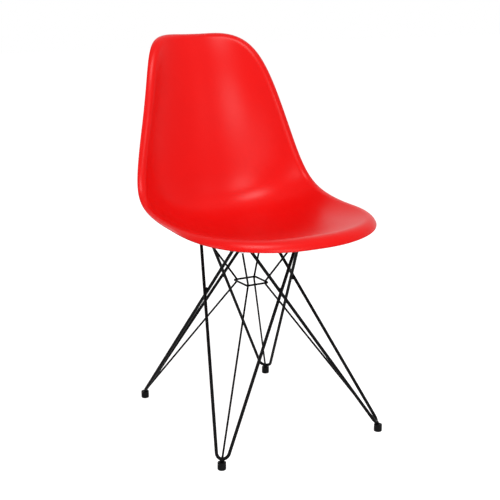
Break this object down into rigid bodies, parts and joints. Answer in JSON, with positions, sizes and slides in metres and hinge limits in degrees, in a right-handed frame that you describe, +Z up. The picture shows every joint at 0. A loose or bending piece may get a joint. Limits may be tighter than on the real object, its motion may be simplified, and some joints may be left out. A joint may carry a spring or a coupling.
{
  "type": "moulded plastic shell chair",
  "caption": "Armless one-piece moulded seat shell with a rolled rim on a black welded wire-rod base with crossed hairpin legs, struts and a waist ring.",
  "frame": {"origin": "on the floor, under the middle of the whole chair", "axes": "+Z up, the chair faces -Y, +X is to the right of someone who looks at the chair's front"},
  "size_m": [0.4448, 0.536, 0.824],
  "materials": {
    "seat_plastic": "satin moulded polypropylene with a very fine grain",
    "black_steel": "satin black powder coat",
    "foot_plastic": "matte black",
    "pad_plastic": "matte black",
    "zinc_steel": "zinc plated",
    "insert_brass": "plain turned"
  },
  "bodies": {
    "root": {"seat_shell": "seat_plastic", "leg_front_left": "black_steel", "strut_front_left": "black_steel", "foot_pin_front_left": "black_steel", "foot_cap_front_left": "foot_plastic", "mount_plate_front_left": "black_steel", "seat_pad_front_left": "pad_plastic", "leg_front_right": "black_steel", "strut_front_right": "black_steel", "foot_pin_front_right": "black_steel", "foot_cap_front_right": "foot_plastic", "mount_plate_front_right": "black_steel", "seat_pad_front_right": "pad_plastic", "leg_rear_left": "black_steel", "strut_rear_left": "black_steel", "foot_pin_rear_left": "black_steel", "foot_cap_rear_left": "foot_plastic", "mount_plate_rear_left": "black_steel", "seat_pad_rear_left": "pad_plastic", "leg_rear_right": "black_steel", "strut_rear_right": "black_steel", "foot_pin_rear_right": "black_steel", "foot_cap_rear_right": "foot_plastic", "mount_plate_rear_right": "black_steel", "seat_pad_rear_right": "pad_plastic", "waist_ring": "black_steel", "mount_screws": "zinc_steel", "screw_washers": "zinc_steel", "threaded_inserts": "insert_brass"}
  },
  "joints": []
}
